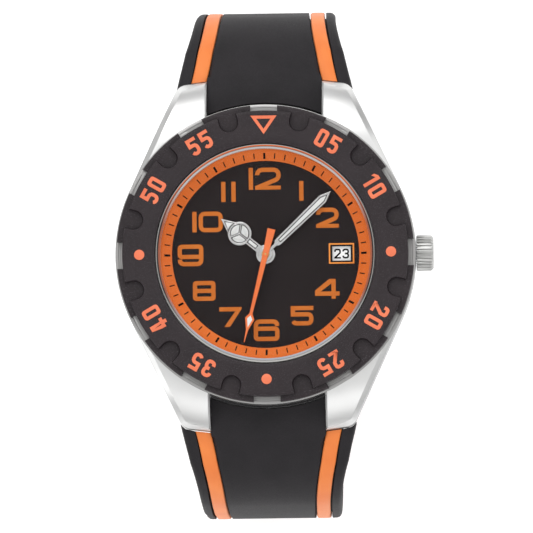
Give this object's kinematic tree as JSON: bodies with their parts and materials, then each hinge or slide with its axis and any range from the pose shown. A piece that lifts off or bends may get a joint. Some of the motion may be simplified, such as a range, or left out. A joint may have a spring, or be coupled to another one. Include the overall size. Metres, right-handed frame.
{
  "type": "quartz dive watch",
  "caption": "Dive watch with a rotating scalloped bezel, hands geared to a quartz movement, date disc, crown and a buckled two-colour rubber strap.",
  "frame": {"origin": "centre of the case back's outer face, on the axis of the hands", "axes": "+Z out of the dial, +Y towards 12 o'clock, +X towards the crown at 3 o'clock"},
  "size_m": [0.0427, 0.0688, 0.0606],
  "materials": {
    "case_steel": "satin steel, glass-bead blasted on top and polished at the edges",
    "back_steel": "circular-brushed steel",
    "seal_rubber": "soft black sealing rubber",
    "crystal_glass": "clear polished mineral glass",
    "seal_nylon": "translucent white nylon",
    "bezel_black": "matt black coated steel",
    "bezel_orange": "filled salmon-orange markings",
    "spring_steel": "fine-ground spring steel",
    "flange_orange": "satin orange lacquer",
    "print_black": "black printing",
    "dial_black": "matt black lacquer",
    "print_orange": "luminous orange printing",
    "hand_steel": "polished rhodium plating",
    "lume_white": "white luminous compound",
    "hand_orange": "orange lacquer",
    "wheel_brass": "gilt brass",
    "rotor_magnet": "sintered magnet on a steel arbor",
    "wheel_plastic": "moulded acetal",
    "date_white": "matt white lacquer",
    "plate_brass": "gilt, stamped and machined",
    "bridge_metal": "nickel-plated, straight-grained",
    "iron": "soft magnetic alloy",
    "copper_wire": "enamelled copper wire",
    "board_green": "green solder mask with black chip cap",
    "can_steel": "tinned can",
    "cell_steel": "polished nickel-plated cell",
    "clamp_steel": "stamped spring steel",
    "screw_steel": "hardened steel, slotted",
    "holder_plastic": "white moulded plastic",
    "crown_steel": "satin steel",
    "strap_rubber": "matt black rubber with fine grain",
    "strap_orange": "matt orange rubber",
    "buckle_steel": "satin steel"
  },
  "bodies": {
    "case": {"case_body": "case_steel", "case_back": "back_steel", "case_back_gasket": "seal_rubber", "crystal": "crystal_glass", "crystal_gasket": "seal_nylon", "bezel_click_spring": "spring_steel", "bezel_retaining_wire": "spring_steel", "minute_flange": "flange_orange", "flange_ticks": "print_black", "dial": "dial_black", "dial_numerals": "print_orange", "date_window_frame": "print_orange", "calendar_plate": "plate_brass", "main_plate": "plate_brass", "train_bridge": "bridge_metal", "stator": "iron", "coil": "copper_wire", "circuit_board": "board_green", "quartz_can": "can_steel", "battery": "cell_steel", "battery_clamp": "clamp_steel", "movement_screws": "screw_steel", "movement_holder": "holder_plastic", "crown_tube": "spring_steel", "strap_12": "strap_rubber", "strap_6": "strap_rubber", "strap_stripes_12": "strap_orange", "strap_stripes_6": "strap_orange", "spring_bar_12": "spring_steel", "spring_bar_6": "spring_steel", "buckle_frame": "buckle_steel", "buckle_bar": "spring_steel", "fixed_keeper": "strap_rubber"},
    "bezel": {"bezel_ring": "bezel_black", "bezel_markings": "bezel_orange"},
    "minute": {"minute_hand": "hand_steel", "minute_hand_lume": "lume_white", "center_wheel": "wheel_brass"},
    "hour": {"hour_hand": "hand_steel", "hour_hand_lume": "lume_white", "hour_wheel": "wheel_brass"},
    "second": {"second_hand": "hand_orange", "second_hand_lume": "lume_white", "fourth_wheel": "wheel_brass"},
    "third": {"third_wheel": "wheel_brass"},
    "fifth": {"fifth_wheel": "wheel_brass"},
    "rotor": {"rotor": "rotor_magnet"},
    "minute_wheel": {"minute_wheel": "wheel_brass"},
    "setting_wheel": {"setting_wheel": "wheel_brass"},
    "date_driving": {"date_driving_wheel": "wheel_plastic"},
    "date": {"date_disc": "date_white", "date_numerals": "print_black"},
    "crown_seal": {"crown_gasket": "seal_rubber"},
    "crown": {"crown": "crown_steel", "stem": "spring_steel"},
    "sliding_pinion": {"sliding_pinion": "spring_steel"},
    "setting_lever": {"setting_lever": "spring_steel"},
    "buckle_tongue": {"buckle_tongue": "buckle_steel"},
    "free_keeper": {"free_keeper": "strap_rubber"}
  },
  "joints": [
    {"name": "bezel_turn", "type": "hinge", "parent": "case", "child": "bezel", "pos_m": [0, 0, 0.0087], "axis": [0, 0, 1], "continuous": true},
    {"name": "minute_turn", "type": "hinge", "parent": "case", "child": "minute", "pos_m": [0, 0, 0.0076], "axis": [0, 0, -1], "continuous": true},
    {"name": "hour_turn", "type": "hinge", "parent": "case", "child": "hour", "pos_m": [0, 0, 0.0072], "axis": [0, 0, -1], "continuous": true},
    {"name": "second_turn", "type": "hinge", "parent": "case", "child": "second", "pos_m": [0, 0, 0.008], "axis": [0, 0, -1], "continuous": true},
    {"name": "third_wheel_turn", "type": "hinge", "parent": "case", "child": "third", "pos_m": [-0.00105, -0.00288, 0.0042], "axis": [0, 0, -1], "continuous": true},
    {"name": "fifth_wheel_turn", "type": "hinge", "parent": "case", "child": "fifth", "pos_m": [-0.0015, 0.0026, 0.0033], "axis": [0, 0, -1], "continuous": true},
    {"name": "rotor_turn", "type": "hinge", "parent": "case", "child": "rotor", "pos_m": [-0.00332, 0.00365, 0.0038], "axis": [0, 0, -1], "continuous": true},
    {"name": "minute_wheel_turn", "type": "hinge", "parent": "case", "child": "minute_wheel", "pos_m": [0.0012, 0.00208, 0.0059], "axis": [0, 0, -1], "continuous": true},
    {"name": "setting_wheel_turn", "type": "hinge", "parent": "case", "child": "setting_wheel", "pos_m": [0.0039, 0.00135, 0.0059], "axis": [0, 0, -1], "continuous": true},
    {"name": "date_driving_turn", "type": "hinge", "parent": "case", "child": "date_driving", "pos_m": [-0.00228, 0.00395, 0.0063], "axis": [0, 0, -1], "continuous": true},
    {"name": "date_turn", "type": "hinge", "parent": "case", "child": "date", "pos_m": [0, 0, 0.0063], "axis": [0, 0, -1], "continuous": true},
    {"name": "crown_pull", "type": "slide", "parent": "case", "child": "crown_seal", "axis": [1, 0, 0], "range_m": [0, 0.0011]},
    {"name": "crown_turn", "type": "hinge", "parent": "crown_seal", "child": "crown", "pos_m": [0.0214, 0, 0.0049], "axis": [1, 0, 0], "continuous": true},
    {"name": "sliding_pinion_slide", "type": "slide", "parent": "crown", "child": "sliding_pinion", "axis": [1, 0, 0], "range_m": [-0.0011, 0]},
    {"name": "setting_lever_swing", "type": "hinge", "parent": "case", "child": "setting_lever", "pos_m": [0.00995, -0.0026, 0.0042], "axis": [0, 0, -1], "range_deg": [0, 24.43]},
    {"name": "buckle_tongue_swing", "type": "hinge", "parent": "case", "child": "buckle_tongue", "pos_m": [0, -0.0026, -0.046], "axis": [1, 0, 0], "range_deg": [0, 6]},
    {"name": "free_keeper_slide", "type": "slide", "parent": "case", "child": "free_keeper", "axis": [0, 1, 0], "range_m": [-0.0035, 0.0005]}
  ],
  "couplings": [
    {"joint": "hour_turn", "follows": "minute_turn", "ratio": 0.083333},
    {"joint": "second_turn", "follows": "minute_turn", "ratio": 60},
    {"joint": "third_wheel_turn", "follows": "minute_turn", "ratio": -8},
    {"joint": "fifth_wheel_turn", "follows": "minute_turn", "ratio": -300},
    {"joint": "rotor_turn", "follows": "minute_turn", "ratio": 1800},
    {"joint": "minute_wheel_turn", "follows": "minute_turn", "ratio": -0.33333},
    {"joint": "setting_wheel_turn", "follows": "minute_turn", "ratio": 0.6},
    {"joint": "date_driving_turn", "follows": "minute_turn", "ratio": -0.041667},
    {"joint": "date_turn", "follows": "minute_turn", "ratio": 0.0013441},
    {"joint": "sliding_pinion_slide", "follows": "crown_pull", "ratio": -1},
    {"joint": "setting_lever_swing", "follows": "crown_pull", "rad_per_m": 387.54}
  ]
}
